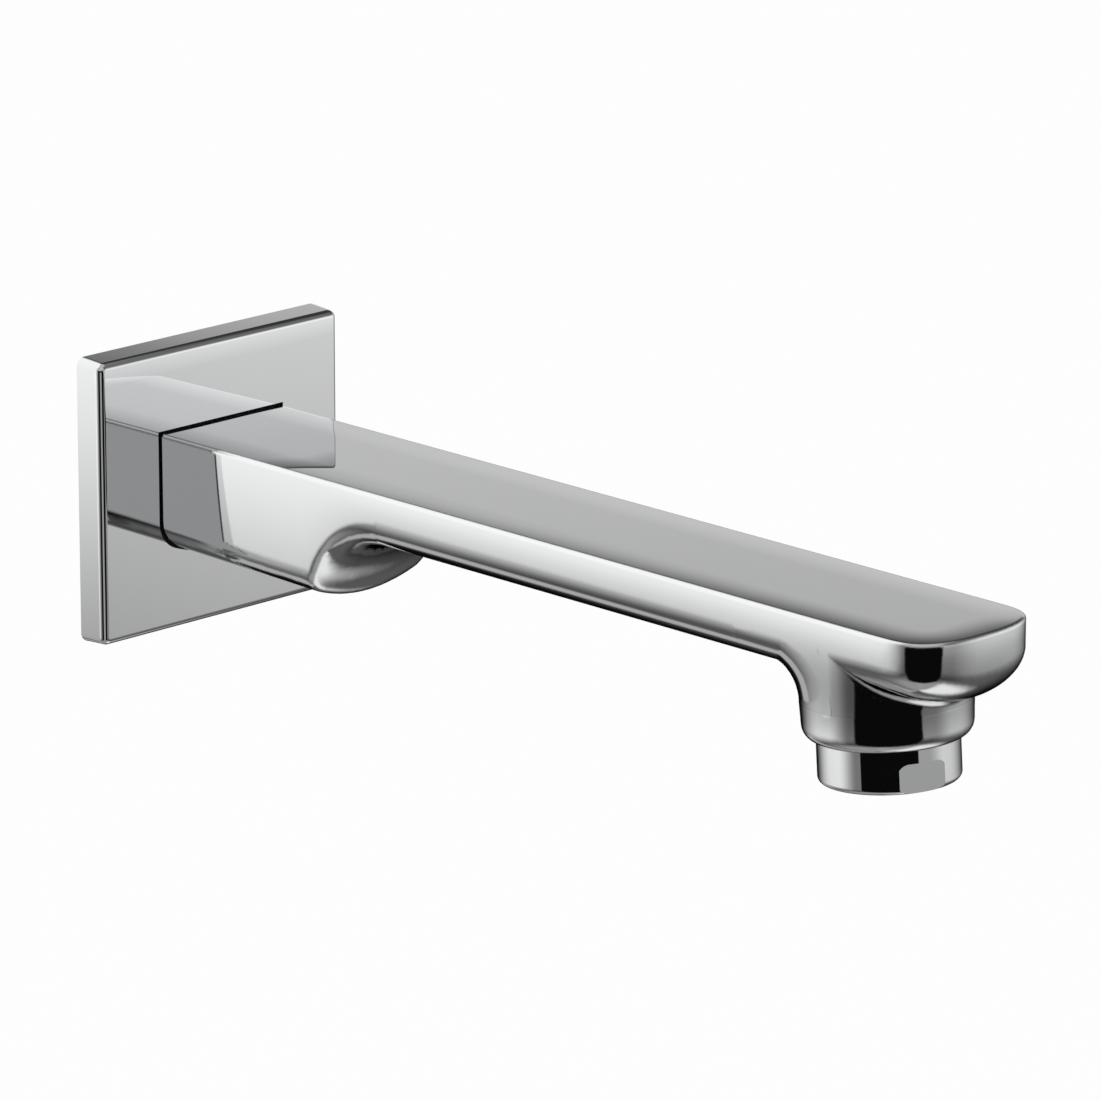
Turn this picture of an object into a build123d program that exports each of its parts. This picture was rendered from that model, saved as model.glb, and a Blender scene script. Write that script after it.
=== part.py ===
from build123d import *
from math import asin, cos, pi, radians, sin, sqrt, tan
import os

# A cast wall spout with its wall plate and aerator, in millimetres.
# The wall is the plane y = 0, the inlet axis is the line x = z = 0, the spout points along -y, +z is up.

# Body, outside
BODY_WIDTH = 33.6
TOP_HEIGHT = 13.4            # flat top above the inlet axis
TOP_EDGE = 0.6               # rounding of the top edges
KEEL_RADIUS = 36.0           # cross curve of the underside, base and arm alike
BASE_DEPTH = 26.8            # height of the base at the wall
BASE_CORNER = 6.0            # rounding between the base's sides and underside
BASE_FALL = 1.0              # degrees by which the underside of the base drops outwards
ARM_DEPTH = 14.0
ARM_CORNER = 6.5             # rounding between the arm's sides and underside, also round the tip
PROJECTION = 221.8           # wall to tip
TIP_DEPTH = 16.0             # length over which the plan closes to the tip
TIP_SIDE_POWER = 4.5         # the higher, the straighter the sides run on into the corners
TIP_FRONT_POWER = 2.5        # the higher, the flatter the front

# Scoop between base and arm: the underside turns round this axis
SCOOP_AXIS_Y = -71.2
SCOOP_AXIS_Z = -15.0
SCOOP_RADIUS = 20.0
SCOOP_EDGE = 1.0             # rounding of the rim along the sides
SCOOP_LIP = 1.5              # rounding between the scoop and the underside of the base
FLAT_KEEL = 2000.0           # cross curve of the scoop's inner end, all but flat

# Outlet: boss, its rear bend into the arm, aerator seat
OUTLET_SETBACK = 25.4        # tip to the centre of the boss's lower face
OUTLET_Z = -12.2
OUTLET_TILT = 4.0            # degrees, lower end away from the wall
BOSS_DRAFT = 3.0             # degrees
BOSS_EDGE = 3.0
BEND_SETBACK = 50.5          # tip to the axis of the rear bend
BEND_AXIS_Z = -6.5

# Waterway
INLET_THREAD_RADIUS = 10.5   # G1/2 tapped hole, root of the thread
INLET_THREAD_LENGTH = 14.0
INLET_BORE_RADIUS = 8.5
INLET_BORE_LENGTH = 48.0
CHANNEL_WIDTH = 24.0
CHANNEL_ROOF = 3.0           # metal above the channel
CHANNEL_HEIGHT = 7.6
CHANNEL_START = 28.0         # from the wall
CHANNEL_SETBACK = 9.8        # tip to the end of the channel
CHANNEL_CORNER = 2.5
OUTLET_BORE_RADIUS = 9.5
OUTLET_BORE_RISE = 18.0
SEAT_RADIUS = 12.0           # M24 tapped seat
SEAT_DEPTH = 7.6

# Wall plate
PLATE_WIDTH = 66.4           # at the wall
PLATE_HEIGHT = 60.4
PLATE_DEPTH = 6.8
PLATE_RISE = 1.05            # plate centre above the inlet axis
PLATE_DRAFT = 3.5            # degrees by which the plate's edges lean in
PLATE_WALL = 1.6
PLATE_CORNER = 2.0
PLATE_EDGE = 1.4
COLLAR_WALL = 1.2
COLLAR_SETBACK = 1.5         # collar end to wall

# Aerator, heights along the outlet axis from the boss's lower face
RING_RADIUS = 13.9
RING_HEIGHT = 8.5
RING_EDGE = 1.2
SHANK_HEIGHT = 6.0
FLATS_ACROSS = 26.0
FLAT_HEIGHT = 6.0
FLAT_CUT_WIDTH = 10.6        # path of the cutter that mills a flat
FLAT_CUT_CORNER = 2.4
FLAT_TURN = 18.0             # degrees from the front towards -x
CAVITY_RADIUS = 10.6
MOUTH_RADIUS = 9.6
MOUTH_LIP = 1.5
CAGE_WALL = 1.1
GRID_PITCH = 3.2
GRID_BAR = 0.9
GRID_HEIGHT = 1.5
SCREEN_THICKNESS = 0.4
DIFFUSER_THICKNESS = 1.5
DIFFUSER_HOLES = 12
DIFFUSER_HOLE_RADIUS = 0.7
DIFFUSER_HOLE_CIRCLE = 6.5
FILTER_RIM = 1.2
FILTER_DOME_RISE = 4.0
FILTER_DOME_RADIUS = 8.6
FILTER_WALL = 0.8
FILTER_SLOTS = 10
FILTER_SLOT_WIDTH = 1.0
FILTER_SLOT_LENGTH = 4.3
FILTER_SLOT_CIRCLE = 5.16    # radius of the middle of the slots
WASHER_INNER_RADIUS = 9.0

# Fits
PLATE_GAP = 0.5              # plate opening to body
SEAL_GAP = 1.2               # collar to body, filled by the rubber seal
SCREW_GAP = 0.1              # threaded fits
SLIDE_GAP = 0.1              # plastic pieces in the aerator housing
JOIN_INSET = 0.04            # how far the ends of the bends lie inside the arm and the boss
SIDE_OVERLAP = 0.03          # how far rounded pieces run past the side planes before they are trimmed flush

# Worked out from the above
HALF_WIDTH = BODY_WIDTH / 2
BOSS_RADIUS = HALF_WIDTH + SIDE_OVERLAP
BASE_BOTTOM = TOP_HEIGHT - BASE_DEPTH
ARM_BOTTOM = TOP_HEIGHT - ARM_DEPTH
FALL_DIRECTION = Vector(0, -cos(radians(BASE_FALL)), -sin(radians(BASE_FALL)))
OUTLET_UP = Vector(0, sin(radians(OUTLET_TILT)), cos(radians(OUTLET_TILT)))
OUTLET_CENTRE = Vector(0, OUTLET_SETBACK - PROJECTION, OUTLET_Z)
OUTLET_PLANE = Plane(origin=OUTLET_CENTRE, x_dir=(1, 0, 0), z_dir=OUTLET_UP)
BEND_AXIS = Vector(0, BEND_SETBACK - PROJECTION, BEND_AXIS_Z)
NECK_RISE = (BEND_AXIS - OUTLET_CENTRE).dot(OUTLET_UP)
CLEAR_OF_BODY = 20.0         # sections run past the top and are trimmed flush
RUN_PAST = 1.0               # how far rough shapes run past the faces that trim them
NECK_PAST_AXIS = 1.5         # how far the rear bend runs on beyond the axis of the boss
ALL_ROUND = 20 * BODY_WIDTH  # larger than the whole spout
ON_LEVEL = 0.01              # an edge this close to a plane lies in it
OUTLINE_COUNT = 25           # points along an outline
BEND_COUNT = 7               # outlines round a bend


def closed(*points):
    """Face inside a polygon."""
    return make_face(Polyline(*points, close=True))


def section(gap, bottom, corner, top):
    """Cross section of the body grown by gap: straight sides, rounded corners, bowed underside."""
    half = HALF_WIDTH + gap
    keel = KEEL_RADIUS + gap
    low = bottom - gap
    side = low + keel - sqrt(keel**2 - half**2)
    outline = [
        Line((half, top), (-half, top)),
        Line((-half, top), (-half, side)),
        ThreePointArc((-half, side), (0, low), (half, side)),
        Line((half, side), (half, top)),
    ]
    face = make_face(outline)
    return fillet(face.vertices().sort_by(Axis.Y)[:2], corner + gap)


def wall_slice(start, end, top):
    """All space between two distances off the wall and below a level."""
    return Pos(0, -(start + end) / 2, top - ALL_ROUND / 2) * Box(ALL_ROUND, end - start, ALL_ROUND)


def base_bar(gap, start, end):
    """The base's section, grown by gap, from one distance off the wall to another."""
    outline = section(gap, BASE_BOTTOM, BASE_CORNER, CLEAR_OF_BODY)
    bar = extrude(Plane.XZ * outline, end + HALF_WIDTH, dir=FALL_DIRECTION)
    return bar & wall_slice(start, end, TOP_HEIGHT + gap)


def tip_outline():
    """Points round the tip in plan, from -x to +x, on one even curve."""
    points = []
    for i in range(OUTLINE_COUNT):
        place = 2 * i / (OUTLINE_COUNT - 1) - 1
        side = 1 if place > 0 else -1
        turn = pi / 2 * cos(place * pi / 2)**2
        x = side * HALF_WIDTH * cos(turn)**(2 / TIP_FRONT_POWER)
        y = TIP_DEPTH * (1 - sin(turn)**(2 / TIP_SIDE_POWER)) - PROJECTION
        points.append((x, y))
    return points


def plan(start):
    """Top view of the body from a distance off the wall to the rounded tip."""
    curve = tip_outline()
    sides = Polyline(curve[-1], (HALF_WIDTH, -start), (-HALF_WIDTH, -start), curve[0])
    return make_face([Spline(*curve, tangents=((0, -1), (0, 1))), *sides.edges()])


def arm():
    """Arm and tip: vertical sides, bowed underside, one rounding all the way round its lower edge."""
    start = -SCOOP_AXIS_Y - SCOOP_RADIUS
    prism = extrude(Plane.XY.offset(ARM_BOTTOM - ARM_DEPTH) * plan(start), 2 * ARM_DEPTH)
    keel = Plane.XZ.offset(start - RUN_PAST) * Pos(0, ARM_BOTTOM + KEEL_RADIUS) * Circle(KEEL_RADIUS)
    bar = prism & extrude(keel, PROJECTION)
    lower = bar.edges().filter_by(lambda e: e.bounding_box().max.Z < TOP_HEIGHT - ARM_CORNER)
    lower = lower.filter_by(lambda e: e.center().Y < -start - RUN_PAST)
    return fillet(lower, ARM_CORNER)


def spread(count):
    """Positions from -1 to 1, closer together towards both ends."""
    return [sin((2 * i / (count - 1) - 1) * pi / 2) for i in range(count)]


def arm_outline(corner, keel_radius, bottom):
    """Points along a lower outline in cross section, from -x to +x: corner arcs and a keel arc."""
    centre_x = HALF_WIDTH + SIDE_OVERLAP - corner
    centre_z = bottom + keel_radius - sqrt((keel_radius - corner)**2 - centre_x**2)
    turn = asin(centre_x / (keel_radius - corner))
    keel_length = keel_radius * turn
    whole = keel_length + corner * (pi / 2 - turn)
    points = []
    for place in spread(OUTLINE_COUNT):
        along = abs(place) * whole
        side = 1 if place > 0 else -1
        if along < keel_length:
            angle = along / keel_radius
            x = keel_radius * sin(angle)
            z = bottom + keel_radius * (1 - cos(angle))
        else:
            angle = turn + (along - keel_length) / corner
            x = centre_x + corner * sin(angle)
            z = centre_z - corner * cos(angle)
        points.append((side * x, z))
    return points


def bend(axis, first, last, angle, towards_wall, reach):
    """Loft that carries one lower outline round an axis into another, smoothly at both ends.

    Points are (x, distance from the axis). The first outline stands above the axis.
    """
    ledge = HALF_WIDTH + RUN_PAST
    faces = []
    for i in range(BEND_COUNT):
        share = i / (BEND_COUNT - 1)
        mix = sin(share * pi / 2)**2
        curve = [(a[0] + mix * (b[0] - a[0]), a[1] + mix * (b[1] - a[1])) for a, b in zip(first, last)]
        turn = radians(angle) * share
        outward = Vector(0, sin(turn) if towards_wall else -sin(turn), cos(turn))
        level = curve[0][1]
        rim = Polyline(curve[-1], (ledge, level), (ledge, reach), (-ledge, reach), (-ledge, level), curve[0])
        plane = Plane(origin=axis, x_dir=(1, 0, 0), z_dir=Vector(1, 0, 0).cross(outward))
        faces.append(plane * make_face([Spline(*curve), *rim.edges()]))
    return loft(faces)


def base():
    """Deep base with the scoop under its outer end."""
    axis = Vector(0, SCOOP_AXIS_Y, SCOOP_AXIS_Z)
    first = [(x, z + JOIN_INSET - SCOOP_AXIS_Z) for x, z in arm_outline(ARM_CORNER, KEEL_RADIUS, ARM_BOTTOM)]
    last = arm_outline(SCOOP_EDGE, FLAT_KEEL, SCOOP_RADIUS)
    scooped = bend(axis, first, last, 90, True, SCOOP_RADIUS + BASE_DEPTH)
    straight = wall_slice(0, -SCOOP_AXIS_Y - SCOOP_RADIUS - BASE_CORNER, CLEAR_OF_BODY)
    block = base_bar(0, 0, -SCOOP_AXIS_Y + RUN_PAST) & (scooped + straight)
    inner_end = SCOOP_AXIS_Y + SCOOP_RADIUS + JOIN_INSET
    lip = block.edges().filter_by(lambda e: e.bounding_box().max.Y < inner_end)
    lip = lip.filter_by(lambda e: e.bounding_box().max.Z < BASE_BOTTOM + 2 * BASE_CORNER)
    return fillet(lip, SCOOP_LIP)


def between_sides():
    """Space between the body's side planes and below its top."""
    return Pos(0, 0, TOP_HEIGHT - ALL_ROUND / 2) * Box(BODY_WIDTH, ALL_ROUND, ALL_ROUND)


def outlet_neck():
    """Bend that carries the arm's underside down into the rear of the boss."""
    first = [(x, z + JOIN_INSET - BEND_AXIS_Z) for x, z in arm_outline(ARM_CORNER, KEEL_RADIUS, ARM_BOTTOM)]
    centre = OUTLET_CENTRE + OUTLET_UP * NECK_RISE
    away = (centre - BEND_AXIS).length
    inside = BOSS_RADIUS - JOIN_INSET
    turns = [place * pi / 2 for place in spread(OUTLINE_COUNT)]
    last = [(inside * sin(turn), away - inside * cos(turn)) for turn in turns]
    return bend(BEND_AXIS, first, last, 90 - OUTLET_TILT, False, away + NECK_PAST_AXIS) & between_sides()


def outlet_boss():
    """Round boss, tapered up to the bend and straight above it, rounded at its foot."""
    foot = BOSS_RADIUS - NECK_RISE * tan(radians(BOSS_DRAFT))
    side = ((BOSS_RADIUS, CLEAR_OF_BODY), (BOSS_RADIUS, NECK_RISE), (foot, 0))
    profile = closed((0, CLEAR_OF_BODY), *side, (0, 0))
    corner = profile.vertices().sort_by_distance((foot, 0))[0]
    return turned(fillet(corner, BOSS_EDGE)) & between_sides()


def turned(profile):
    """Solid of revolution about the outlet axis from a half profile (radius, height)."""
    upright = Plane(origin=OUTLET_CENTRE, x_dir=(1, 0, 0), z_dir=Vector(1, 0, 0).cross(OUTLET_UP))
    return revolve(upright * profile, Axis(OUTLET_CENTRE, OUTLET_UP))


def outlet_disc(radius, low, high):
    """Plain round piece on the outlet axis between two heights."""
    return extrude(OUTLET_PLANE.offset(low) * Circle(radius), high - low)


def outlet_ring(outer, inner, low, high):
    """Plain ring on the outlet axis between two heights."""
    return outlet_disc(outer, low, high) - outlet_disc(inner, low, high)


def waterway():
    """The hollow inside the body, from the tapped inlet to the tapped outlet seat."""
    thread = extrude(Plane.XZ * Circle(INLET_THREAD_RADIUS), INLET_THREAD_LENGTH)
    bore = extrude(Plane.XZ * Circle(INLET_BORE_RADIUS), INLET_BORE_LENGTH)
    length = PROJECTION - CHANNEL_SETBACK - CHANNEL_START
    centre_z = TOP_HEIGHT - CHANNEL_ROOF - CHANNEL_HEIGHT / 2
    channel = Pos(0, -CHANNEL_START - length / 2, centre_z) * Box(CHANNEL_WIDTH, length, CHANNEL_HEIGHT)
    channel = fillet(channel.edges().filter_by(Axis.Y), CHANNEL_CORNER)
    drop = outlet_disc(OUTLET_BORE_RADIUS, 0, OUTLET_BORE_RISE)
    seat = outlet_disc(SEAT_RADIUS, 0, SEAT_DEPTH)
    return thread + bore + channel + drop + seat


def spout_body():
    """One casting: base, arm, neck and boss round a hollow waterway."""
    outside = (arm() + base()) + (outlet_neck() + outlet_boss())
    top = outside.edges().filter_by(lambda e: e.bounding_box().min.Z > TOP_HEIGHT - ON_LEVEL)
    top = top.filter_by(lambda e: e.center().Y < -ON_LEVEL)
    return fillet(top, TOP_EDGE) - waterway()


def wall_plate():
    """Pressed plate: hollow back, rounded front edges, collar turned in round the opening."""
    front = PLATE_DEPTH - PLATE_WALL
    blank = Plane.XZ * Pos(0, PLATE_RISE) * RectangleRounded(PLATE_WIDTH, PLATE_HEIGHT, PLATE_CORNER)
    plate = extrude(blank, PLATE_DEPTH, taper=PLATE_DRAFT)
    plate = fillet(plate.faces().sort_by(Axis.Y)[0].edges(), PLATE_EDGE)
    hollow = (PLATE_WIDTH - 2 * PLATE_WALL, PLATE_HEIGHT - 2 * PLATE_WALL)
    inside = RectangleRounded(*hollow, PLATE_CORNER - PLATE_EDGE)
    plate -= extrude(Plane.XZ * Pos(0, PLATE_RISE) * inside, front, taper=PLATE_DRAFT)
    plate += base_bar(SEAL_GAP + COLLAR_WALL, COLLAR_SETBACK, front)
    plate -= base_bar(SEAL_GAP, 0, front)
    return plate - base_bar(PLATE_GAP, 0, 2 * PLATE_DEPTH)


def plate_seal():
    """Rubber ring that fills the space between collar and body."""
    front = PLATE_DEPTH - PLATE_WALL
    return base_bar(SEAL_GAP, COLLAR_SETBACK, front) - base_bar(0, 0, PLATE_DEPTH)


def aerator_housing():
    """Turned ring with a threaded shank above, a lipped mouth below and two spanner flats."""
    ring = outlet_disc(RING_RADIUS, -RING_HEIGHT, 0)
    ring = fillet(ring.edges().sort_by(Axis.Z)[:1], RING_EDGE)
    cut = Pos(0, -RING_HEIGHT) * RectangleRounded(FLAT_CUT_WIDTH, 2 * FLAT_HEIGHT, FLAT_CUT_CORNER)
    block = extrude(Plane.XZ.offset(FLATS_ACROSS / 2) * cut, RING_RADIUS)
    for side in (0, 180):
        ring -= OUTLET_PLANE * Rot(0, 0, side - FLAT_TURN) * block
    housing = ring + outlet_disc(SEAT_RADIUS - SCREW_GAP, 0, SHANK_HEIGHT)
    housing -= outlet_disc(CAVITY_RADIUS, -RING_HEIGHT + MOUTH_LIP, SHANK_HEIGHT)
    return housing - outlet_disc(MOUTH_RADIUS, -RING_HEIGHT, 0)


INSERT_RADIUS = CAVITY_RADIUS - SLIDE_GAP
CAGE_FLOOR = -RING_HEIGHT + MOUTH_LIP
FILTER_LOW = SHANK_HEIGHT - FILTER_RIM
CAGE_TOP = FILTER_LOW - DIFFUSER_THICKNESS
CAGE_INNER_RADIUS = INSERT_RADIUS - CAGE_WALL
GRID_TOP = CAGE_FLOOR + GRID_HEIGHT


def aerator_cage():
    """Plastic sleeve with a square grid across its lower end."""
    sleeve = outlet_ring(INSERT_RADIUS, CAGE_INNER_RADIUS, CAGE_FLOOR, CAGE_TOP)
    bars = Part()
    count = int(CAGE_INNER_RADIUS / GRID_PITCH)
    for step in range(-count, count + 1):
        across = Pos(0, step * GRID_PITCH, 0) * Box(2 * INSERT_RADIUS, GRID_BAR, GRID_HEIGHT)
        along = Pos(step * GRID_PITCH, 0, 0) * Box(GRID_BAR, 2 * INSERT_RADIUS, GRID_HEIGHT)
        bars += across + along
    grid = OUTLET_PLANE.offset(CAGE_FLOOR + GRID_HEIGHT / 2) * bars
    inside = outlet_disc(CAGE_INNER_RADIUS + CAGE_WALL / 2, CAGE_FLOOR, GRID_TOP)
    return sleeve + (grid & inside)


def aerator_screen(layer):
    """Mesh disc lying on the grid or on the disc below it."""
    low = GRID_TOP + layer * SCREEN_THICKNESS
    return outlet_disc(CAGE_INNER_RADIUS - SLIDE_GAP, low, low + SCREEN_THICKNESS)


def aerator_diffuser():
    """Plate with a ring of small holes, lying on the cage."""
    plate = outlet_disc(INSERT_RADIUS, CAGE_TOP, FILTER_LOW)
    places = PolarLocations(DIFFUSER_HOLE_CIRCLE, DIFFUSER_HOLES)
    holes = OUTLET_PLANE.offset(CAGE_TOP) * places * Circle(DIFFUSER_HOLE_RADIUS)
    for hole in holes:
        plate -= extrude(hole, DIFFUSER_THICKNESS)
    return plate


def dome_arc(ball, centre, reach):
    """Arc of a dome in half section, from a radius to the axis."""
    half_turn = asin(reach / ball) / 2
    middle = (ball * sin(half_turn), centre + ball * cos(half_turn))
    return ThreePointArc((reach, centre + sqrt(ball**2 - reach**2)), middle, (0, centre + ball))


def aerator_filter():
    """Domed strainer with radial slots, its rim level with the top of the shank."""
    ball = (FILTER_DOME_RADIUS**2 + FILTER_DOME_RISE**2) / (2 * FILTER_DOME_RISE)
    centre = SHANK_HEIGHT + FILTER_DOME_RISE - ball
    outer = dome_arc(ball, centre, FILTER_DOME_RADIUS)
    inner = dome_arc(ball - FILTER_WALL, centre, FILTER_DOME_RADIUS - FILTER_WALL)
    rim = Polyline(
        outer @ 0,
        (INSERT_RADIUS, SHANK_HEIGHT),
        (INSERT_RADIUS, FILTER_LOW),
        (FILTER_DOME_RADIUS - FILTER_WALL, FILTER_LOW),
        inner @ 0,
    )
    strainer = turned(make_face([outer, *rim.edges(), inner, Line(inner @ 1, outer @ 1)]))
    slot = Pos(FILTER_SLOT_CIRCLE, 0, SHANK_HEIGHT + FILTER_DOME_RISE / 2)
    slot *= Box(FILTER_SLOT_LENGTH, FILTER_SLOT_WIDTH, FILTER_DOME_RISE)
    for i in range(FILTER_SLOTS):
        strainer -= OUTLET_PLANE * Rot(0, 0, i * 360 / FILTER_SLOTS) * slot
    return strainer


def aerator_washer():
    """Rubber washer pressed between the shank and the end of the tapped seat."""
    return outlet_ring(SEAT_RADIUS - SCREW_GAP, WASHER_INNER_RADIUS, SHANK_HEIGHT, SEAT_DEPTH)


PIECES = {
    "spout_body": spout_body(),
    "wall_flange": wall_plate(),
    "flange_seal": plate_seal(),
    "aerator_housing": aerator_housing(),
    "aerator_cage": aerator_cage(),
    "aerator_screen_lower": aerator_screen(0),
    "aerator_screen_upper": aerator_screen(1),
    "aerator_diffuser": aerator_diffuser(),
    "aerator_filter": aerator_filter(),
    "aerator_washer": aerator_washer(),
}

os.makedirs("parts", exist_ok=True)
for name, piece in PIECES.items():
    export_step(piece, f"parts/{name}.step")
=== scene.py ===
from math import cos, pi, radians, sin, sqrt, tan

import bpy
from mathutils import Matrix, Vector
from mathutils.bvhtree import BVHTree


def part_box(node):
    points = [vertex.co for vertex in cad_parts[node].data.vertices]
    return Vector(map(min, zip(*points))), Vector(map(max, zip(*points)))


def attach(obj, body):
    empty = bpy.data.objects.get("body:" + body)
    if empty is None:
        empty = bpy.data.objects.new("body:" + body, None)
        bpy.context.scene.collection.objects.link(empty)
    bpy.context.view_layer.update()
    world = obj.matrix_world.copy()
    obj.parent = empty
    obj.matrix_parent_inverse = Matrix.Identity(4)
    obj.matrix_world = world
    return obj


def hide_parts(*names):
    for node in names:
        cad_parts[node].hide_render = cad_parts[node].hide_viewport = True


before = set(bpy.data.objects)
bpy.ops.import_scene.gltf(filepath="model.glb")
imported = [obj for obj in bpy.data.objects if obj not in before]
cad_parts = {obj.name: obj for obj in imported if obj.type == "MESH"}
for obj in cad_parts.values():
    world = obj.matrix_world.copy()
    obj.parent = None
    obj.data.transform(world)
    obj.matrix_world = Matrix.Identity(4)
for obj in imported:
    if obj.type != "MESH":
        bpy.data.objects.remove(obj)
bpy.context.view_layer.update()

MM = 0.001
DEGREES = 180.0 / pi           # in one radian
ACROSS = Vector((1.0, 0.0, 0.0))
UP = Vector((0.0, 0.0, 1.0))

# Camera, found from the straight edges of plate and body
VIEW_TURN = radians(44.31)     # to the left of straight ahead
VIEW_RISE = radians(16.10)
VIEW_DISTANCE = 1.62857
VIEW_AIM = Vector((0.04880, -0.05402, -0.01476))
VIEW_LENS = 256.87
VIEW_SENSOR = 36.0

# Body
HALF_WIDTH = 16.8 * MM
TOP = 13.4 * MM
TIP_START = -205.8 * MM
TIP_DEPTH = 16.0 * MM
BASE_FRONT = -48.0 * MM
ARM_START = -76.0 * MM
OUTLET = Vector((0.0, -196.4 * MM, -12.2 * MM))
OUTLET_TILT = radians(4.0)
OUTLET_UP = Vector((0.0, sin(OUTLET_TILT), cos(OUTLET_TILT)))
BOSS_RADIUS = 16.83 * MM
BOSS_TAPER = radians(3.0)
BOSS_STRAIGHT = 7.44 * MM      # height above its foot from which the boss is straight

# Waterway
BORE_END = -48.0 * MM
CHANNEL_HALF = 12.0 * MM
CHANNEL_LOW = 2.8 * MM
CHANNEL_HIGH = 10.4 * MM
CHANNEL_FRONT = -212.0 * MM
SEAT_RADIUS = 12.0 * MM
BARE_MARGIN = 0.2 * MM         # bare metal reaches this far past the waterway's walls
BARE_END = -0.02 * MM          # bare machined end that faces the wall

# Inlet thread
THREAD_ROOT = 10.5 * MM
THREAD_CREST = 9.32 * MM
THREAD_LENGTH = 14.0 * MM
THREAD_PITCH = 1.814 * MM
THREAD_SUNK = 0.15 * MM        # how far the ridge's foot lies in the wall
THREAD_END_GAP = 0.05 * MM
RIDGE_HALF_FOOT = 0.46         # of the pitch
RIDGE_HALF_CREST = 0.09        # of the pitch
RIDGE_RUN_OUT = 0.4            # of a turn, at both ends
RIDGE_STEPS = 72               # in one turn

# Fillet under the tip
TIP_FILLET = 3.0 * MM
FILLET_SUNK = 0.3 * MM         # how far its hidden edge lies past the crease
FILLET_REACH = 86              # degrees to both sides of the tip
FILLET_STEPS = 18
LEAST_SWEEP = radians(4.0)     # narrower parts of the fillet are left out
SEARCH_HEIGHT = 25.0 * MM
SEARCH_STEPS = 40
OFF_THE_BOSS = 0.1 * MM

# Wall plate
PLATE_HALF_WIDTH = 32.8 * MM
PLATE_HALF_HEIGHT = 29.8 * MM
PLATE_RISE = 1.05 * MM
PLATE_HOLLOW = -5.2 * MM
HOLLOW_SKIN = 0.05 * MM
PLATE_RIM = 0.5 * MM

# Woven screens
SCREEN_RADIUS = 9.2 * MM
SCREEN_PITCH = 0.7 * MM
SCREEN_WIRE = 0.09 * MM
WEAVE_STEPS = 4                # along one pitch
WIRE_SIDES = 5

# Traces of the buffing wheel, depths in millimetres
WAVE_SIZE = 28.0
WAVE_DETAIL = 1.0
WAVE_DEPTH = 0.03
BUFFED_EDGE = 1.0 * MM
EDGE_SAMPLES = 6
ROLL_WIDTH = 9.0 * MM
ROLL_DEPTH = 0.22
ROLL_TOP = (TOP - 5.0 * MM, TOP - 2.0 * MM)
CORNER_POWER = 4.0             # roundness of the tip's outline
PLATE_ROLL_WIDTH = 5.0 * MM
PLATE_ROLL_DEPTH = 0.2
PLATE_CROWN = 0.0003           # times the square of the distance from the middle
BASE_CROWN = 0.003             # times the square of the depth below the top
ARM_CROWN = 2.85
ARM_CROWN_DEPTH = (1.5 * MM, 24.0 * MM)

# Finishes: sizes of their patterns in marks per metre, then colours, roughness and depths
HAZE_SIZE = 22.0
HAZE_DETAIL = 3.0
HAZE_ROUGHNESS = (0.35, 0.75, 0.015, 0.04)
POLISH_STRETCH = (900.0, 60.0, 900.0)
POLISH_ROUGHNESS = 0.012
FINE_DETAIL = 2.0
MOTTLE_SIZE = 260.0
MOTTLE_DETAIL = 4.0
MOTTLE_ROUGHNESS = (0.3, 0.7, 0.3, 0.48)
MOTTLE_DEPTH = 0.04
SATIN_ROUGHNESS = 0.25
LATHE_STRETCH = (20.0, 20.0, 2500.0)
LATHE_ROUGHNESS = 0.02
LATHE_DEPTH = 0.0006
RING_WAVE_DEPTH = 0.01
BLOOM_SIZE = 240.0
BLOOM_ROUGHNESS = (0.3, 0.7, 0.55, 0.8)
RUBBER_GRAIN_SIZE = 2600.0
RUBBER_GRAIN_DEPTH = 0.04 * MM
RUBBER_GRAIN_STRENGTH = 0.6
RUBBER_SHEEN = 0.35
CLOUD_SIZE = 300.0
CLOUD_ROUGHNESS = (0.3, 0.7, 0.32, 0.48)
PLASTIC_GRAIN_SIZE = 4000.0
PLASTIC_GRAIN_DEPTH = 0.01 * MM
PLASTIC_GRAIN_STRENGTH = 0.5
SOFT_DETAIL = 3.0
DRAWN_SIZE = 1800.0
DRAWN_ROUGHNESS = (0.3, 0.7, 0.22, 0.38)
CUT_SHINE = 0.7                # of the roughness of cast brass
CUT_DEPTH = 0.02 * MM

# Stage
TENT_RADIUS = 1.5
TENT_CENTRE = Vector((0.0, -0.1, 0.0))
TENT_SEGMENTS = 64
TENT_RINGS = 32
FLOOR_LEVEL = -1.6             # below the tent
FLOOR_SIZE = 80.0
FLOOR_PAINT = 0.9
FLOOR_WHITE = 0.97             # share of plain white where the floor is seen, the rest keeps the shadow
SKY_LEVEL = 0.55
WHITE = 1.0
DARK = 0.003
CARD_DISTANCE = 0.09
CARD_SIDES = (-0.084, 0.084)
CARD_HEIGHTS = (-0.12, 0.015)
EDGE_TURN = radians(48.0)      # direction of the edge card, left of straight back
EDGE_CARD_DISTANCE = 8.0 * MM
EDGE_CARD_SIDES = (-4.0 * MM, 4.0 * MM)
EDGE_CARD_HEIGHTS = (-50.0 * MM, 45.0 * MM)
EDGE_CARD_LEVELS = (0.36, 1.0)
LAMP_SIZE = 1.2
KEY_PLACE = (-0.9, -0.9, 1.3)
KEY_POWER = 18.0
FILL_PLACE = (1.2, -0.4, 0.9)
FILL_POWER = 9.0

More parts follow.
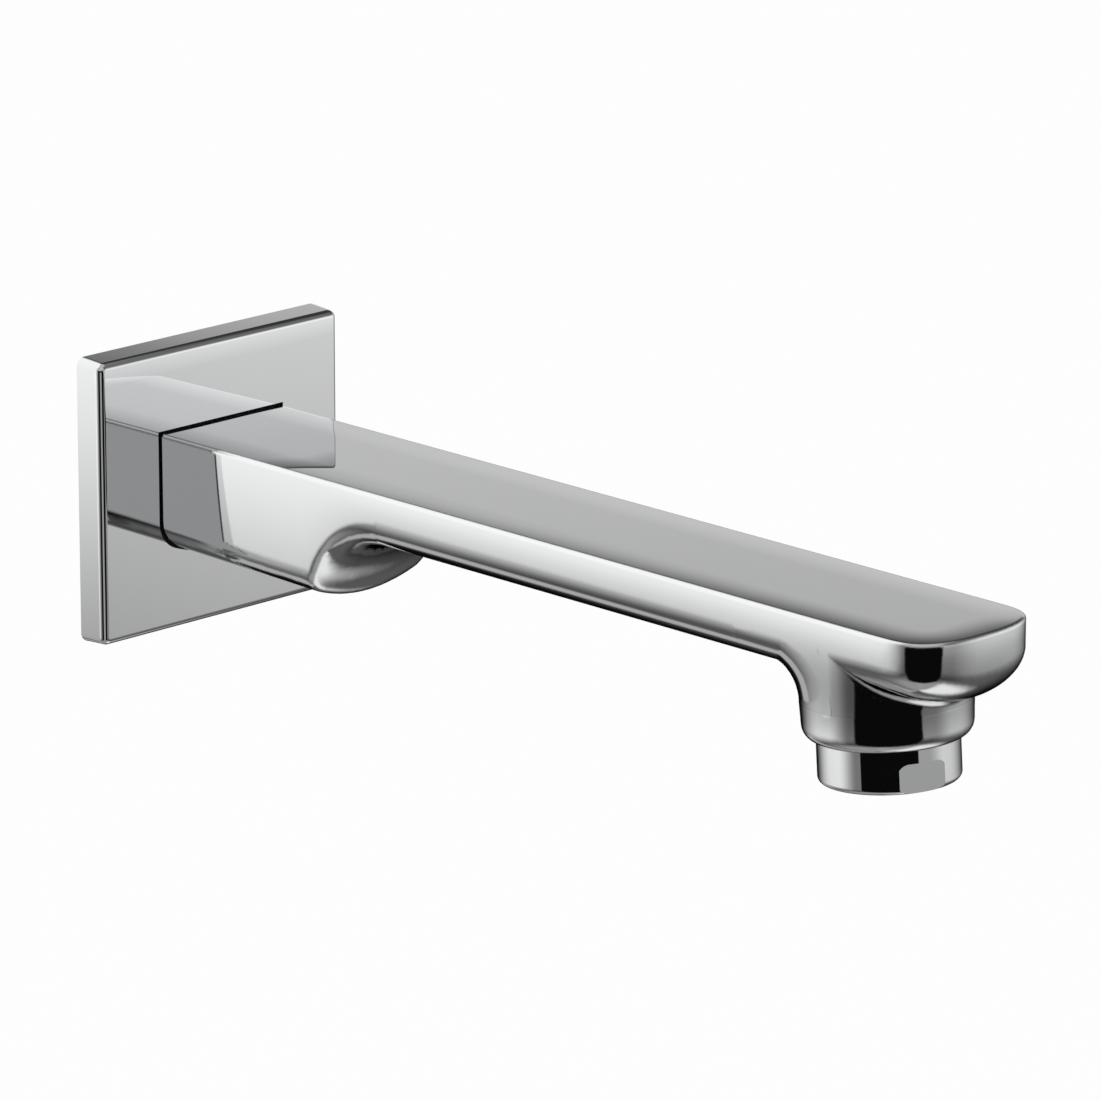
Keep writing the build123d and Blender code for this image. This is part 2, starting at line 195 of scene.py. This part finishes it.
# Sheets of the tent: start and end in degrees, then the level before and after
LEFT_EDGE = (43.0, 44.0, 0.0, 0.2)
LEFT_BODY = (50.0, 88.0, 0.0, 0.8)
LEFT_FOOT = (-62.0, -6.0)
LEFT_FOOT_CURVE = 1.5
LEFT_TOP = (55.0, 80.0, 1.0, 0.3)
LEFT_LEVEL = 1.05
RIGHT_EDGE = (43.0, 44.0, 0.0, 0.5)
RIGHT_BODY = (62.0, 92.0, 0.0, 0.5)
RIGHT_FOOT = (-40.0, 7.0, 0.1, 1.0)
RIGHT_TOP = (5.0, 30.0, 1.0, 0.15)
WALLS_END = (104.0, 165.0, 1.0, 0.0)
UPPER_START = (-170.0, -158.0)
UPPER_END = (-90.0, -60.0, 1.0, 0.0)
UPPER_FOOT = (14.0, 24.0)
UPPER_TOP = (60.0, 80.0, 1.0, 0.3)
REAR_SHADE = (13.0, 19.0, 0.58, 0.45)
REAR_FOOT = (-3.0, 3.0)
REAR_TOP = (17.5, 23.5, 1.0, 0.08)
REAR_START = (140.0, 160.0)
STRIP_START = (-156.0, -150.0)
STRIP_END = (-134.0, -128.0, 1.0, 0.0)
STRIP_TOP = (-30.0, -24.0, 0.42, 0.0)
FRONT_END = (11.0, 16.0, 1.0, 0.0)
FRONT_TOP = (-6.0, 6.0, 0.33, 0.012)
ABOVE_FOOT = (10.0, 30.0, 0.0, 0.5)
ABOVE_END = (45.0, 70.0, 1.0, 0.0)
CEILING_FOOT = (45.0, 65.0, 0.0, 0.5)
TABLE_TOP = (-60.0, -34.0, 1.0, 0.0)
TABLE_SHADE = (70.0, 150.0, 0.3, 0.1)
LOW_RIGHT_TOP = (-60.0, -44.0, 0.85, 0.0)
LOW_RIGHT_START = (40.0, 70.0)
LOW_RIGHT_END = (120.0, 160.0, 1.0, 0.0)

# Places of a colour mix's sockets
MIX_SHARE = 0
MIX_FIRST = 6
MIX_SECOND = 7
MIX_COLOUR = 2


class Wire:
    """A node's output that can be used in sums: each operator adds its Math node."""

    def __init__(self, nodes, socket):
        self.nodes = nodes
        self.socket = socket

    def maths(self, operation, *terms):
        inputs = dict(enumerate(terms))
        return self.nodes.add("ShaderNodeMath", {"operation": operation}, inputs)

    def __add__(self, other):
        return self.maths("ADD", self, other)

    def __sub__(self, other):
        return self.maths("SUBTRACT", self, other)

    def __rsub__(self, other):
        return self.maths("SUBTRACT", other, self)

    def __mul__(self, other):
        return self.maths("MULTIPLY", self, other)

    def __rmul__(self, other):
        return self.maths("MULTIPLY", other, self)

    def __truediv__(self, other):
        return self.maths("DIVIDE", self, other)

    def __abs__(self):
        return self.maths("ABSOLUTE", self)

    def __pow__(self, other):
        return self.maths("POWER", self, other)

    def below(self, limit):
        """1 where the value is under the limit, else 0."""
        return self.maths("LESS_THAN", self, limit)

    def above(self, limit):
        """1 where the value is over the limit, else 0."""
        return self.maths("GREATER_THAN", self, limit)

    def least(self, other):
        return self.maths("MINIMUM", self, other)

    def most(self, other):
        return self.maths("MAXIMUM", self, other)

    def rise(self, start, end, low=0.0, high=1.0):
        """Smooth step from low to high as the value goes from start to end."""
        inputs = {"Value": self, "From Min": start, "From Max": end, "To Min": low, "To Max": high}
        return self.nodes.add("ShaderNodeMapRange", {"interpolation_type": "SMOOTHSTEP"}, inputs)


class Nodes:
    """The node tree of one finish, or of the world."""

    def __init__(self, owner):
        owner.use_nodes = True
        self.tree = owner.node_tree
        self.tree.nodes.clear()

    def add(self, kind, settings=None, inputs=None, output=0):
        """Adds a node: settings first, then each socket's value or link. Returns one of its outputs."""
        node = self.tree.nodes.new(kind)
        for name, value in (settings or {}).items():
            setattr(node, name, value)
        for key, value in (inputs or {}).items():
            if isinstance(value, Wire):
                self.tree.links.new(value.socket, node.inputs[key])
            else:
                node.inputs[key].default_value = value
        return Wire(self, node.outputs[output])

    def place(self):
        """Position on the object, in metres, as a vector and as x, y and z."""
        point = self.add("ShaderNodeTexCoord", output="Object")
        return point, *self.split(point)

    def split(self, vector):
        first = self.add("ShaderNodeSeparateXYZ", inputs={0: vector})
        outputs = first.socket.node.outputs
        return [Wire(self, socket) for socket in outputs]

    def noise(self, point, scale, detail):
        inputs = {"Vector": point, "Scale": scale, "Detail": detail}
        return self.add("ShaderNodeTexNoise", inputs=inputs)

    def stretched_noise(self, point, factors):
        """Fine noise drawn out into lines."""
        drawn = self.add("ShaderNodeVectorMath", {"operation": "MULTIPLY"}, {0: point, 1: factors})
        return self.noise(drawn, 1.0, FINE_DETAIL)

    def blend(self, share, first, second):
        """Colour that goes from first to second as share goes from 0 to 1."""
        inputs = {MIX_SHARE: share, MIX_FIRST: first, MIX_SECOND: second}
        return self.add("ShaderNodeMix", {"data_type": "RGBA"}, inputs, MIX_COLOUR)

    def bump(self, height, distance, strength=1.0):
        inputs = {"Height": height, "Distance": distance, "Strength": strength}
        return self.add("ShaderNodeBump", inputs=inputs)

    def buffed_bump(self, height, distance, radius):
        """Bump on edges that the buffing wheel has softened."""
        soft = self.add("ShaderNodeBevel", {"samples": EDGE_SAMPLES}, {"Radius": radius})
        return self.add("ShaderNodeBump", inputs={"Height": height, "Distance": distance, "Normal": soft})

    def glow(self, level):
        return self.add("ShaderNodeEmission", inputs={"Color": level, "Strength": 1.0})

    def surface(self, shader):
        self.add_output("ShaderNodeOutputMaterial", shader)

    def principled(self, inputs):
        self.surface(self.add("ShaderNodeBsdfPrincipled", inputs=inputs))

    def add_output(self, kind, shader):
        node = self.tree.nodes.new(kind)
        self.tree.links.new(shader.socket, node.inputs["Surface"])


def new_finish(name):
    material = bpy.data.materials.new(name)
    return material, Nodes(material)


def colour(red, green, blue):
    return (red, green, blue, 1.0)


def grey(level):
    return colour(level, level, level)


CHROME_LIGHT = colour(0.90, 0.905, 0.91)
CHROME_DARK = colour(0.86, 0.865, 0.875)
BRASS_LIGHT = colour(0.78, 0.58, 0.30)
BRASS_DARK = colour(0.62, 0.43, 0.20)
RUBBER_DARK = grey(0.012)
RUBBER_LIGHT = grey(0.035)
PLASTIC_LIGHT = colour(0.80, 0.81, 0.82)
PLASTIC_DARK = colour(0.72, 0.73, 0.75)
STEEL_LIGHT = grey(0.62)
STEEL_DARK = grey(0.5)


def chrome_parts(nodes, point):
    """Colour, roughness and wave height shared by all polished chrome."""
    haze = nodes.noise(point, HAZE_SIZE, HAZE_DETAIL)
    lines = nodes.stretched_noise(point, POLISH_STRETCH)
    wave = nodes.noise(point, WAVE_SIZE, WAVE_DETAIL)
    tint = nodes.blend(haze, CHROME_LIGHT, CHROME_DARK)
    roughness = haze.rise(*HAZE_ROUGHNESS) + lines * POLISH_ROUGHNESS
    return tint, roughness, wave


def brass_parts(nodes, point):
    """Colour, roughness and mottled height of bare cast brass."""
    mottle = nodes.noise(point, MOTTLE_SIZE, MOTTLE_DETAIL)
    tint = nodes.blend(mottle, BRASS_LIGHT, BRASS_DARK)
    return tint, mottle.rise(*MOTTLE_ROUGHNESS), mottle


def side_crown(y, z):
    """How far the sides lean in towards their lower edge, less on the base, and out again on the boss."""
    depth = TOP - z
    on_base = y.rise(ARM_START, BASE_FRONT)
    base = (depth / MM) ** 2.0 * BASE_CROWN
    arm = depth.rise(*ARM_CROWN_DEPTH) * ARM_CROWN
    above_foot = (y - OUTLET.y) * OUTLET_UP.y + (z - OUTLET.z) * OUTLET_UP.z
    taper = ((BOSS_STRAIGHT - above_foot) / MM).most(0.0) * tan(BOSS_TAPER)
    return on_base * base + (1.0 - on_base) * arm - taper


def bare_metal(x, y, z):
    """1 in the waterway and on the machined end, where the casting isn't plated, else 0."""
    inlet = (x * x + z * z).below((THREAD_ROOT + BARE_MARGIN) ** 2) * y.above(BORE_END - BARE_MARGIN)
    channel = abs(x).below(CHANNEL_HALF + BARE_MARGIN) * z.above(CHANNEL_LOW - BARE_MARGIN)
    channel = channel * z.below(CHANNEL_HIGH + BARE_MARGIN) * y.above(CHANNEL_FRONT - BARE_MARGIN)
    along = (y - OUTLET.y) * OUTLET_UP.z - (z - OUTLET.z) * OUTLET_UP.y
    seat = (x * x + along * along).below((SEAT_RADIUS + BARE_MARGIN) ** 2) * z.below(CHANNEL_LOW)
    seat = seat * y.below(CHANNEL_FRONT / 2)
    return inlet.most(channel).most(seat).most(y.above(BARE_END))


def rolled_top(x, y, z):
    """1 on the flat of the top, falling towards its rolled edges, 0 on the sides."""
    sideways = abs(x) / HALF_WIDTH
    forwards = ((TIP_START - y) / TIP_DEPTH).most(0.0)
    outline = (sideways ** CORNER_POWER + forwards ** CORNER_POWER) ** (1.0 / CORNER_POWER)
    from_edge = HALF_WIDTH * (1.0 - outline)
    rolled = (1.0 - from_edge / ROLL_WIDTH).most(0.0) ** 2.0
    return (1.0 - rolled.least(1.0)) * z.rise(*ROLL_TOP)


def body_finish():
    """Polished chrome outside, bare brass in the waterway and on the machined end."""
    material, nodes = new_finish("body_chrome")
    point, x, y, z = nodes.place()
    chrome, shine, wave = chrome_parts(nodes, point)
    brass, dull, mottle = brass_parts(nodes, point)
    bare = bare_metal(x, y, z)
    polished = wave * WAVE_DEPTH + rolled_top(x, y, z) * ROLL_DEPTH - side_crown(y, z)
    height = polished + bare * mottle * MOTTLE_DEPTH
    nodes.principled({
        "Base Color": nodes.blend(bare, chrome, brass),
        "Roughness": shine + bare * (dull - shine),
        "Metallic": 1.0,
        "Normal": nodes.buffed_bump(height, MM, BUFFED_EDGE),
    })
    return material


def plate_finish():
    """Polished chrome with an upper edge rolled by the buffing wheel, satin in the hollow back."""
    material, nodes = new_finish("plate_chrome")
    point, x, y, z = nodes.place()
    chrome, shine, wave = chrome_parts(nodes, point)
    from_middle = z - PLATE_RISE
    hidden = y.above(PLATE_HOLLOW - HOLLOW_SKIN) * abs(x).below(PLATE_HALF_WIDTH - PLATE_RIM)
    hidden = hidden * abs(from_middle).below(PLATE_HALF_HEIGHT - PLATE_RIM)
    from_top = PLATE_HALF_HEIGHT + PLATE_RISE - z
    rolled = (1.0 - from_top / PLATE_ROLL_WIDTH).most(0.0) ** 2.0
    crown = (x * x + from_middle * from_middle) / (MM * MM)
    height = wave * WAVE_DEPTH - rolled * PLATE_ROLL_DEPTH - crown * PLATE_CROWN
    nodes.principled({
        "Base Color": chrome,
        "Roughness": shine + hidden * SATIN_ROUGHNESS,
        "Metallic": 1.0,
        "Normal": nodes.bump(height, MM),
    })
    return material


def ring_finish():
    """Turned and chromed ring: polished, with faint lathe lines round it."""
    material, nodes = new_finish("ring_chrome")
    point = nodes.place()[0]
    chrome, shine, wave = chrome_parts(nodes, point)
    lathe = nodes.stretched_noise(point, LATHE_STRETCH)
    nodes.principled({
        "Base Color": chrome,
        "Roughness": shine + lathe * LATHE_ROUGHNESS,
        "Metallic": 1.0,
        "Normal": nodes.bump(wave * RING_WAVE_DEPTH + lathe * LATHE_DEPTH, MM),
    })
    return material


def rubber_finish():
    """Matte black rubber with a fine moulded grain and a little bloom."""
    material, nodes = new_finish("seal_rubber")
    point = nodes.place()[0]
    grain = nodes.noise(point, RUBBER_GRAIN_SIZE, SOFT_DETAIL)
    bloom = nodes.noise(point, BLOOM_SIZE, SOFT_DETAIL)
    nodes.principled({
        "Base Color": nodes.blend(bloom, RUBBER_DARK, RUBBER_LIGHT),
        "Roughness": bloom.rise(*BLOOM_ROUGHNESS),
        "Specular IOR Level": RUBBER_SHEEN,
        "Normal": nodes.bump(grain, RUBBER_GRAIN_DEPTH, RUBBER_GRAIN_STRENGTH),
    })
    return material


def plastic_finish():
    """Pale moulded plastic: slightly mottled, satin."""
    material, nodes = new_finish("insert_plastic")
    point = nodes.place()[0]
    cloud = nodes.noise(point, CLOUD_SIZE, SOFT_DETAIL)
    grain = nodes.noise(point, PLASTIC_GRAIN_SIZE, FINE_DETAIL)
    nodes.principled({
        "Base Color": nodes.blend(cloud, PLASTIC_LIGHT, PLASTIC_DARK),
        "Roughness": cloud.rise(*CLOUD_ROUGHNESS),
        "Normal": nodes.bump(grain, PLASTIC_GRAIN_DEPTH, PLASTIC_GRAIN_STRENGTH),
    })
    return material


def wire_finish():
    """Drawn stainless wire."""
    material, nodes = new_finish("screen_steel")
    point = nodes.place()[0]
    drawn = nodes.noise(point, DRAWN_SIZE, FINE_DETAIL)
    nodes.principled({
        "Base Color": nodes.blend(drawn, STEEL_LIGHT, STEEL_DARK),
        "Roughness": drawn.rise(*DRAWN_ROUGHNESS),
        "Metallic": 1.0,
    })
    return material


def brass_finish():
    """Bare cut brass of the inlet's thread."""
    material, nodes = new_finish("cut_brass")
    point = nodes.place()[0]
    brass, dull, mottle = brass_parts(nodes, point)
    nodes.principled({
        "Base Color": brass,
        "Roughness": dull * CUT_SHINE,
        "Metallic": 1.0,
        "Normal": nodes.bump(mottle, CUT_DEPTH),
    })
    return material


def add_mesh(name, points, faces, finish, smooth=True):
    mesh = bpy.data.meshes.new(name)
    mesh.from_pydata(points, [], faces)
    mesh.materials.append(finish)
    mesh.polygons.foreach_set("use_smooth", [smooth] * len(faces))
    mesh.update()
    piece = bpy.data.objects.new(name, mesh)
    bpy.context.scene.collection.objects.link(piece)
    return piece


def swept(rings):
    """Points and faces of a skin over rings of equal count, capped at both ends."""
    count = len(rings[0])
    points = [point for ring in rings for point in ring]
    faces = []
    for i in range(len(rings) - 1):
        for j in range(count):
            k = (j + 1) % count
            low = i * count
            high = low + count
            faces.append((low + j, low + k, high + k, high + j))
    faces.append(tuple(reversed(range(count))))
    faces.append(tuple(range(len(points) - count, len(points))))
    return points, faces


def inlet_thread(finish):
    """Helical ridge of the tapped inlet, tapering out at both ends."""
    foot = THREAD_ROOT + THREAD_SUNK
    half = THREAD_PITCH * RIDGE_HALF_FOOT
    flat = THREAD_PITCH * RIDGE_HALF_CREST
    travel = THREAD_LENGTH - 2.0 * half - 2.0 * THREAD_END_GAP
    steps = int(RIDGE_STEPS * travel / THREAD_PITCH)
    run_out = RIDGE_RUN_OUT * RIDGE_STEPS
    rings = []
    for i in range(steps + 1):
        turn = 2.0 * pi * i / RIDGE_STEPS
        y = -half - THREAD_END_GAP - travel * i / steps
        fade = min(1.0, i / run_out, (steps - i) / run_out)
        crest = THREAD_ROOT - (THREAD_ROOT - THREAD_CREST) * fade
        profile = ((foot, half), (crest, flat), (crest, -flat), (foot, -half))
        rings.append([(radius * cos(turn), y + shift, radius * sin(turn)) for radius, shift in profile])
    thread = add_mesh("inlet_thread", *swept(rings), finish, smooth=False)
    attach(thread, "root")


def woven_wire(middle, run, side, reach, over):
    """Rings of one wire that waves over and under its neighbours, starting over where over is 1."""
    steps = max(2, int(2.0 * reach / (SCREEN_PITCH / WEAVE_STEPS)))
    rings = []
    for i in range(steps + 1):
        place = -reach + 2.0 * reach * i / steps
        lift = cos(pi * place / SCREEN_PITCH) * over
        centre = middle + run * place + OUTLET_UP * (lift * SCREEN_WIRE)
        ring = []
        for k in range(WIRE_SIDES):
            angle = 2.0 * pi * k / WIRE_SIDES
            ring.append(centre + (side * cos(angle) + OUTLET_UP * sin(angle)) * SCREEN_WIRE)
        rings.append(ring)
    return rings


def woven_screen(name, node, finish):
    """Plain-weave wire disc in the place of a screen's solid."""
    low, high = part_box(node)
    centre = (low + high) / 2.0
    along = OUTLET_UP.cross(ACROSS)
    count = int(SCREEN_RADIUS / SCREEN_PITCH)
    points, faces = [], []
    for family, (run, side) in enumerate(((ACROSS, along), (along, ACROSS))):
        for index in range(-count, count + 1):
            offset = index * SCREEN_PITCH
            reach = sqrt(max(0.0, SCREEN_RADIUS**2 - offset**2))
            over = 1 if (index + family) % 2 else -1
            wire_points, wire_faces = swept(woven_wire(centre + side * offset, run, side, reach, over))
            start = len(points)
            points += wire_points
            faces += [tuple(start + corner for corner in face) for face in wire_faces]
    screen = add_mesh(name, points, faces, finish)
    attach(screen, "root")
    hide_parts(node)


def boss_radial(turn):
    """Direction from the boss's axis, a turn away from straight ahead of the tip."""
    ahead = OUTLET_UP.cross(-ACROSS)
    return ahead * cos(turn) + ACROSS * sin(turn)


def round_the_boss(body):
    """Search tree over the faces of the tip that lie outside the boss."""
    mesh = body.data
    points = [vertex.co for vertex in mesh.vertices]
    outside = []
    for point in points:
        from_axis = point - OUTLET
        from_axis = from_axis - OUTLET_UP * from_axis.dot(OUTLET_UP)
        outside.append(from_axis.length > BOSS_RADIUS + OFF_THE_BOSS)
    faces = []
    for face in mesh.polygons:
        near_tip = face.center.y < TIP_START + 2 * TIP_DEPTH
        if near_tip and any(outside[corner] for corner in face.vertices):
            faces.append(face.vertices[:])
    return BVHTree.FromPolygons(points, faces)


def ball_centre(tree, turn):
    """Centre of a ball that rolls on the boss and rises until it meets the tip's underside."""
    out = OUTLET + boss_radial(turn) * (BOSS_RADIUS + TIP_FILLET)
    low, high = 0.0, SEARCH_HEIGHT
    for _ in range(SEARCH_STEPS):
        middle = (low + high) / 2.0
        gap = tree.find_nearest(out + OUTLET_UP * middle)[3]
        if gap > TIP_FILLET:
            low = middle
        else:
            high = middle
    return out + OUTLET_UP * low


def tip_fillet(finish):
    """Hollow fillet where the tip's underside meets the boss, run out along both sides."""
    tree = round_the_boss(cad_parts["spout_body"])
    rings, normals = [], []
    for degree in range(FILLET_REACH, -FILLET_REACH - 1, -1):
        turn = radians(degree)
        centre = ball_centre(tree, turn)
        on_boss = -boss_radial(turn)
        on_tip = (tree.find_nearest(centre)[0] - centre).normalized()
        sweep = on_boss.angle(on_tip)
        if sweep < LEAST_SWEEP:
            continue
        ring = []
        for i in range(FILLET_STEPS + 1):
            towards = on_boss.slerp(on_tip, i / FILLET_STEPS)
            ring.append(centre + towards * TIP_FILLET)
            normals.append(-towards)
        middle = (on_boss + on_tip).normalized()
        ring.append(centre + middle * (TIP_FILLET / cos(sweep / 2.0) + FILLET_SUNK))
        normals.append(middle)
        rings.append(ring)
    piece = add_mesh("tip_fillet", *swept(rings), finish)
    piece.data.normals_split_custom_set_from_vertices(normals)
    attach(piece, "root")


def dress(node, finish):
    """Gives a CAD node its finish."""
    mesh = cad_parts[node].data
    mesh.materials.clear()
    mesh.materials.append(finish)


def dress_all():
    """Finishes on all nodes, with the pieces that are added to them."""
    chrome = body_finish()
    dress("spout_body", chrome)
    tip_fillet(chrome)
    dress("wall_flange", plate_finish())
    dress("aerator_housing", ring_finish())
    rubber = rubber_finish()
    for node in ("flange_seal", "aerator_washer"):
        dress(node, rubber)
    plastic = plastic_finish()
    for node in ("aerator_filter", "aerator_diffuser", "aerator_cage"):
        dress(node, plastic)
    steel = wire_finish()
    for node in ("aerator_screen_upper", "aerator_screen_lower"):
        dress(node, steel)
        woven_screen(node + "_weave", node, steel)
    inlet_thread(brass_finish())


def add_camera():
    level = cos(VIEW_RISE)
    towards = Vector((-sin(VIEW_TURN) * level, -cos(VIEW_TURN) * level, sin(VIEW_RISE)))
    camera = bpy.data.objects.new("camera", bpy.data.cameras.new("camera"))
    camera.data.lens = VIEW_LENS
    camera.data.sensor_width = VIEW_SENSOR
    camera.location = VIEW_AIM + towards * VIEW_DISTANCE
    camera.rotation_euler = (-towards).to_track_quat("-Z", "Y").to_euler()
    bpy.context.scene.collection.objects.link(camera)
    bpy.context.scene.camera = camera


def tent_directions(nodes):
    """Turn to the right of the photo's side and height above level, both in degrees."""
    point = nodes.place()[0]
    unit = nodes.add("ShaderNodeVectorMath", {"operation": "NORMALIZE"}, {0: point})
    x, y, z = nodes.split(unit)
    ahead = x * -sin(VIEW_TURN) - y * cos(VIEW_TURN)
    right = x * cos(VIEW_TURN) - y * sin(VIEW_TURN)
    turn = right.maths("ARCTAN2", right, ahead) * DEGREES
    height = z.maths("ARCSINE", z) * DEGREES
    return turn, height


def side_walls(turn, height):
    """Bright wall on each side, with a sharp front edge."""
    aside = abs(turn)
    on_left = turn.below(0.0)
    left = aside.rise(*LEFT_EDGE) + aside.rise(*LEFT_BODY)
    left = left * height.rise(*LEFT_FOOT) ** LEFT_FOOT_CURVE * height.rise(*LEFT_TOP) * LEFT_LEVEL
    right = aside.rise(*RIGHT_EDGE) + aside.rise(*RIGHT_BODY)
    right = right * height.rise(*RIGHT_FOOT) * height.rise(*RIGHT_TOP)
    return (on_left * left + (1.0 - on_left) * right) * aside.rise(*WALLS_END)


def rear_sheets(turn, height):
    """Grey sheet behind, a bright one over it on the left and a low strip beside it."""
    upper = turn.rise(*UPPER_START) * turn.rise(*UPPER_END)
    upper = upper * height.rise(*UPPER_FOOT) * height.rise(*UPPER_TOP)
    sheet = height.rise(*REAR_SHADE) * height.rise(*REAR_FOOT) * height.rise(*REAR_TOP)
    sheet = sheet * abs(turn).rise(*REAR_START)
    strip = turn.rise(*STRIP_START) * turn.rise(*STRIP_END) * height.rise(*STRIP_TOP)
    return upper.most(sheet).most(strip)


def front_and_ceiling(turn, height):
    """Narrow grey front below a dark gap, and the pale upper front and ceiling."""
    aside = abs(turn)
    front = aside.rise(*FRONT_END) * height.rise(*FRONT_TOP)
    above = height.rise(*ABOVE_FOOT) * aside.rise(*ABOVE_END)
    return front.most(above).most(height.rise(*CEILING_FOOT))


def table_top(turn, height):
    """Dim table below, with a pale sheet on its right."""
    table = height.rise(*TABLE_TOP) * abs(turn).rise(*TABLE_SHADE)
    pale = height.rise(*LOW_RIGHT_TOP) * turn.rise(*LOW_RIGHT_START) * turn.rise(*LOW_RIGHT_END)
    return table.most(pale)


def tent_light():
    """Inside of the studio tent."""
    material, nodes = new_finish("tent_light")
    turn, height = tent_directions(nodes)
    level = side_walls(turn, height)
    for sheets in (rear_sheets, front_and_ceiling, table_top):
        level = level.most(sheets(turn, height))
    nodes.surface(nodes.glow(level + DARK))
    return material


def add_tent():
    """Light tent round the object that only its reflections show."""
    bpy.ops.mesh.primitive_uv_sphere_add(
        segments=TENT_SEGMENTS, ring_count=TENT_RINGS, radius=TENT_RADIUS, location=TENT_CENTRE)
    tent = bpy.context.object
    tent.name = "light_tent"
    tent.data.materials.append(tent_light())
    only_reflected(tent)


def add_card(name, middle, along, sides, heights, finish):
    """Upright card that only reflections show."""
    left, right = sides
    low, high = heights
    corners = []
    for reach, level in ((left, low), (right, low), (right, high), (left, high)):
        corners.append(middle + along * reach + UP * level)
    card = add_mesh(name, corners, [tuple(range(len(corners)))], finish, smooth=False)
    only_reflected(card)


def add_dark_card():
    """Black card close in front of the tip."""
    material, nodes = new_finish("dark_card")
    nodes.surface(nodes.glow(grey(DARK)))
    away = Vector((-sin(VIEW_TURN), -cos(VIEW_TURN), 0.0))
    along = Vector((cos(VIEW_TURN), -sin(VIEW_TURN), 0.0))
    middle = Vector((0.0, OUTLET.y, 0.0)) + away * CARD_DISTANCE
    add_card("dark_card", middle, along, CARD_SIDES, CARD_HEIGHTS, material)


def add_edge_card():
    """Grey card behind the plate's left edge, paler towards the top."""
    material, nodes = new_finish("edge_card")
    height = nodes.place()[3]
    nodes.surface(nodes.glow(height.rise(*EDGE_CARD_HEIGHTS, *EDGE_CARD_LEVELS)))
    away = Vector((-sin(EDGE_TURN), cos(EDGE_TURN), 0.0))
    along = Vector((cos(EDGE_TURN), sin(EDGE_TURN), 0.0))
    middle = ACROSS * -PLATE_HALF_WIDTH + away * EDGE_CARD_DISTANCE
    add_card("edge_card", middle, along, EDGE_CARD_SIDES, EDGE_CARD_HEIGHTS, material)


def only_reflected(thing):
    """Marks a thing of the stage that the camera and the lamps pass by."""
    thing.visible_camera = False
    thing.visible_diffuse = False
    thing.visible_shadow = False
    thing.visible_transmission = False


def add_lamp(name, place, power):
    """Soft square lamp that points at the object and leaves no mark in its reflections."""
    lamp = bpy.data.objects.new(name, bpy.data.lights.new(name, "AREA"))
    lamp.data.size = LAMP_SIZE
    lamp.data.energy = power
    lamp.location = place
    lamp.rotation_euler = (TENT_CENTRE - Vector(place)).to_track_quat("-Z", "Y").to_euler()
    lamp.visible_glossy = False
    bpy.context.scene.collection.objects.link(lamp)


def shown_directly(nodes):
    """1 for rays from the camera, off gloss or through glass, else 0."""
    path = nodes.add("ShaderNodeLightPath")
    outputs = path.socket.node.outputs
    camera, glossy, through = (Wire(nodes, outputs[name]) for name in
                               ("Is Camera Ray", "Is Glossy Ray", "Is Transmission Ray"))
    return camera.most(glossy).most(through)


def add_floor():
    """Pale floor well below the spout, open from underneath."""
    material, nodes = new_finish("floor")
    seen = shown_directly(nodes)
    paint = nodes.add("ShaderNodeBsdfDiffuse", inputs={"Color": grey(FLOOR_PAINT)})
    white = nodes.glow(grey(WHITE))
    face = nodes.add("ShaderNodeMixShader", inputs={0: seen * FLOOR_WHITE, 1: paint, 2: white})
    back = nodes.add("ShaderNodeNewGeometry", output="Backfacing")
    clear = nodes.add("ShaderNodeBsdfTransparent")
    nodes.surface(nodes.add("ShaderNodeMixShader", inputs={0: back, 1: face, 2: clear}))
    bpy.ops.mesh.primitive_plane_add(size=FLOOR_SIZE, location=UP * FLOOR_LEVEL)
    floor = bpy.context.object
    floor.name = "floor"
    floor.data.materials.append(material)


def set_world():
    """Soft sky that shows as plain white."""
    world = bpy.data.worlds.new("studio")
    bpy.context.scene.world = world
    nodes = Nodes(world)
    soft = nodes.add("ShaderNodeBackground", inputs={"Color": grey(SKY_LEVEL), "Strength": 1.0})
    white = nodes.add("ShaderNodeBackground", inputs={"Color": grey(WHITE), "Strength": 1.0})
    sky = nodes.add("ShaderNodeMixShader", inputs={0: shown_directly(nodes), 1: soft, 2: white})
    nodes.add_output("ShaderNodeOutputWorld", sky)


dress_all()
add_camera()
add_tent()
add_dark_card()
add_edge_card()
add_lamp("key_lamp", KEY_PLACE, KEY_POWER)
add_lamp("fill_lamp", FILL_PLACE, FILL_POWER)
add_floor()
set_world()
bpy.context.scene.view_settings.view_transform = "Standard"
